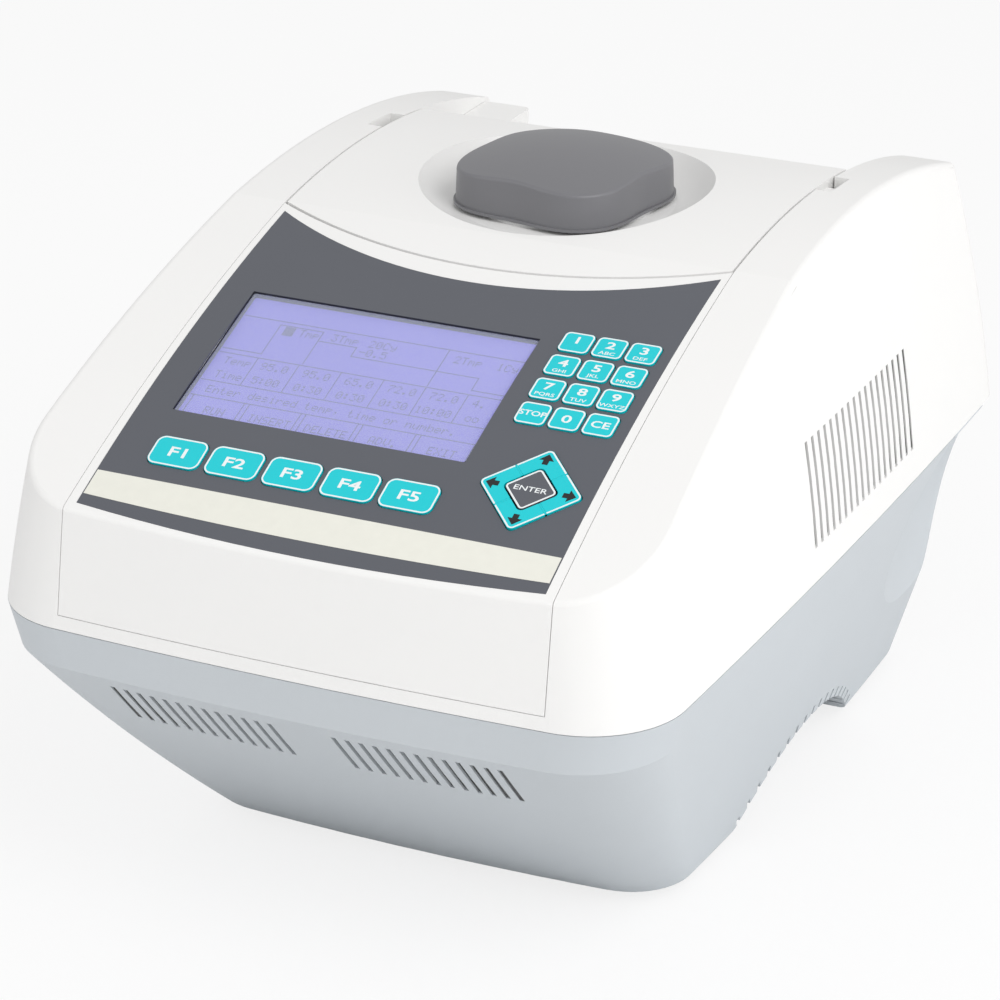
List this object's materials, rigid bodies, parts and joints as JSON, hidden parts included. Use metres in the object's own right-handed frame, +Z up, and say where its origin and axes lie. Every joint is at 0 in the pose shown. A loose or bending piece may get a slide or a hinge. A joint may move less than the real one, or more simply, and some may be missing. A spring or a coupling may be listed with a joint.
{
  "type": "thermal cycler",
  "caption": "Bench thermal cycler with a tapering base, an arched housing, a sloping keypad and display, and a hinged heated lid whose knob lowers a plate onto the block.",
  "frame": {"origin": "centre of the box's underside, on the bench", "axes": "+Z up, the front with the keypad faces -Y, +X to the right seen from the front"},
  "size_m": [0.28, 0.396, 0.2565],
  "materials": {
    "base_grey": "fine texture",
    "foot_rubber": "matt",
    "housing_white": "fine texture",
    "overlay_slate": "satin",
    "display_glass": "polished",
    "display_blue": "backlit",
    "backplate_dark": "plain",
    "bracket_alu": "cast",
    "steel": "brushed",
    "frame_grey": "plain",
    "block_alu": "machined",
    "ceramic": "ceramic",
    "fan_black": "plain",
    "sheet_metal": "zinc",
    "board_green": "solder mask",
    "inlet_black": "plain",
    "liner_grey": "plain",
    "gasket_rubber": "matt",
    "ring_grey": "satin",
    "knob_grey": "satin",
    "plate_alu": "ground",
    "rocker_black": "polished",
    "key_cyan": "satin"
  },
  "bodies": {
    "chassis": {"base_tub": "base_grey", "rubber_feet": "foot_rubber", "upper_housing": "housing_white", "front_panel": "housing_white", "keypad_overlay": "overlay_slate", "display_glass": "display_glass", "display_module": "display_blue", "keypad_backplate": "backplate_dark", "hinge_brackets": "bracket_alu", "hinge_pins": "steel", "cable_cover": "housing_white", "block_frame": "frame_grey", "sample_block": "block_alu", "peltier_modules": "ceramic", "heatsink": "block_alu", "fan_housing": "fan_black", "support_platform": "sheet_metal", "platform_posts": "sheet_metal", "power_supply": "sheet_metal", "main_board": "board_green", "power_plate": "sheet_metal", "power_inlet": "inlet_black", "switch_bezel": "inlet_black", "housing_screws": "steel"},
    "lid": {"lid_shell": "housing_white", "lid_liner": "liner_grey", "lid_gasket": "gasket_rubber", "pressure_bridge": "steel", "knob_seat_ring": "ring_grey", "hinge_arms": "bracket_alu"},
    "knob": {"pressure_knob": "knob_grey", "knob_shaft": "steel"},
    "plate": {"heated_plate": "plate_alu"},
    "fan": {"fan_rotor": "fan_black"},
    "rocker": {"power_rocker": "rocker_black"},
    "key_f1": {"key_f1": "key_cyan"},
    "key_f2": {"key_f2": "key_cyan"},
    "key_f3": {"key_f3": "key_cyan"},
    "key_f4": {"key_f4": "key_cyan"},
    "key_f5": {"key_f5": "key_cyan"},
    "key_1": {"key_1": "key_cyan"},
    "key_2": {"key_2": "key_cyan"},
    "key_3": {"key_3": "key_cyan"},
    "key_4": {"key_4": "key_cyan"},
    "key_5": {"key_5": "key_cyan"},
    "key_6": {"key_6": "key_cyan"},
    "key_7": {"key_7": "key_cyan"},
    "key_8": {"key_8": "key_cyan"},
    "key_9": {"key_9": "key_cyan"},
    "key_stop": {"key_stop": "key_cyan"},
    "key_0": {"key_0": "key_cyan"},
    "key_clear": {"key_clear": "key_cyan"},
    "key_up": {"key_up": "key_cyan"},
    "key_down": {"key_down": "key_cyan"},
    "key_left": {"key_left": "key_cyan"},
    "key_right": {"key_right": "key_cyan"},
    "key_enter": {"key_enter": "key_cyan"}
  },
  "joints": [
    {"name": "lid_hinge", "type": "hinge", "parent": "chassis", "child": "lid", "pos_m": [0, 0.111, 0.224], "axis": [-1, 0, 0], "range_deg": [0, 75]},
    {"name": "knob_turn", "type": "hinge", "parent": "lid", "child": "knob", "pos_m": [0, 0.039, 0.236], "axis": [0, 0, -1], "range_deg": [0, 360]},
    {"name": "plate_slide", "type": "slide", "parent": "lid", "child": "plate", "axis": [0, 0, -1], "range_m": [0, 0.005]},
    {"name": "fan_spin", "type": "hinge", "parent": "chassis", "child": "fan", "pos_m": [0, -0.027, 0.14], "axis": [0, 1, 0], "continuous": true},
    {"name": "power_rocker_tilt", "type": "hinge", "parent": "chassis", "child": "rocker", "pos_m": [-0.024, 0.1786, 0.069], "axis": [-1, 0, 0], "range_deg": [0, 16]},
    {"name": "key_f1_press", "type": "slide", "parent": "chassis", "child": "key_f1", "axis": [0, 0.4305, -0.9026], "range_m": [0, 0.0005], "stiffness_N_per_m": 300, "springref_m": -0.0005},
    {"name": "key_f2_press", "type": "slide", "parent": "chassis", "child": "key_f2", "axis": [0, 0.4305, -0.9026], "range_m": [0, 0.0005], "stiffness_N_per_m": 300, "springref_m": -0.0005},
    {"name": "key_f3_press", "type": "slide", "parent": "chassis", "child": "key_f3", "axis": [0, 0.4305, -0.9026], "range_m": [0, 0.0005], "stiffness_N_per_m": 300, "springref_m": -0.0005},
    {"name": "key_f4_press", "type": "slide", "parent": "chassis", "child": "key_f4", "axis": [0, 0.4305, -0.9026], "range_m": [0, 0.0005], "stiffness_N_per_m": 300, "springref_m": -0.0005},
    {"name": "key_f5_press", "type": "slide", "parent": "chassis", "child": "key_f5", "axis": [0, 0.4305, -0.9026], "range_m": [0, 0.0005], "stiffness_N_per_m": 300, "springref_m": -0.0005},
    {"name": "key_1_press", "type": "slide", "parent": "chassis", "child": "key_1", "axis": [0, 0.3266, -0.9452], "range_m": [0, 0.0005], "stiffness_N_per_m": 300, "springref_m": -0.0005},
    {"name": "key_2_press", "type": "slide", "parent": "chassis", "child": "key_2", "axis": [0, 0.3266, -0.9452], "range_m": [0, 0.0005], "stiffness_N_per_m": 300, "springref_m": -0.0005},
    {"name": "key_3_press", "type": "slide", "parent": "chassis", "child": "key_3", "axis": [0, 0.3266, -0.9452], "range_m": [0, 0.0005], "stiffness_N_per_m": 300, "springref_m": -0.0005},
    {"name": "key_4_press", "type": "slide", "parent": "chassis", "child": "key_4", "axis": [0, 0.3424, -0.9395], "range_m": [0, 0.0005], "stiffness_N_per_m": 300, "springref_m": -0.0005},
    {"name": "key_5_press", "type": "slide", "parent": "chassis", "child": "key_5", "axis": [0, 0.3424, -0.9395], "range_m": [0, 0.0005], "stiffness_N_per_m": 300, "springref_m": -0.0005},
    {"name": "key_6_press", "type": "slide", "parent": "chassis", "child": "key_6", "axis": [0, 0.3424, -0.9395], "range_m": [0, 0.0005], "stiffness_N_per_m": 300, "springref_m": -0.0005},
    {"name": "key_7_press", "type": "slide", "parent": "chassis", "child": "key_7", "axis": [0, 0.3582, -0.9336], "range_m": [0, 0.0005], "stiffness_N_per_m": 300, "springref_m": -0.0005},
    {"name": "key_8_press", "type": "slide", "parent": "chassis", "child": "key_8", "axis": [0, 0.3582, -0.9336], "range_m": [0, 0.0005], "stiffness_N_per_m": 300, "springref_m": -0.0005},
    {"name": "key_9_press", "type": "slide", "parent": "chassis", "child": "key_9", "axis": [0, 0.3582, -0.9336], "range_m": [0, 0.0005], "stiffness_N_per_m": 300, "springref_m": -0.0005},
    {"name": "key_stop_press", "type": "slide", "parent": "chassis", "child": "key_stop", "axis": [0, 0.3739, -0.9275], "range_m": [0, 0.0005], "stiffness_N_per_m": 300, "springref_m": -0.0005},
    {"name": "key_0_press", "type": "slide", "parent": "chassis", "child": "key_0", "axis": [0, 0.3739, -0.9275], "range_m": [0, 0.0005], "stiffness_N_per_m": 300, "springref_m": -0.0005},
    {"name": "key_clear_press", "type": "slide", "parent": "chassis", "child": "key_clear", "axis": [0, 0.3739, -0.9275], "range_m": [0, 0.0005], "stiffness_N_per_m": 300, "springref_m": -0.0005},
    {"name": "key_up_press", "type": "slide", "parent": "chassis", "child": "key_up", "axis": [0, 0.4157, -0.9095], "range_m": [0, 0.0005], "stiffness_N_per_m": 300, "springref_m": -0.0005},
    {"name": "key_down_press", "type": "slide", "parent": "chassis", "child": "key_down", "axis": [0, 0.4157, -0.9095], "range_m": [0, 0.0005], "stiffness_N_per_m": 300, "springref_m": -0.0005},
    {"name": "key_left_press", "type": "slide", "parent": "chassis", "child": "key_left", "axis": [0, 0.4157, -0.9095], "range_m": [0, 0.0005], "stiffness_N_per_m": 300, "springref_m": -0.0005},
    {"name": "key_right_press", "type": "slide", "parent": "chassis", "child": "key_right", "axis": [0, 0.4157, -0.9095], "range_m": [0, 0.0005], "stiffness_N_per_m": 300, "springref_m": -0.0005},
    {"name": "key_enter_press", "type": "slide", "parent": "chassis", "child": "key_enter", "axis": [0, 0.4157, -0.9095], "range_m": [0, 0.0005], "stiffness_N_per_m": 300, "springref_m": -0.0005}
  ],
  "couplings": [
    {"joint": "knob_turn", "follows": "plate_slide", "rad_per_m": 1256.6}
  ]
}
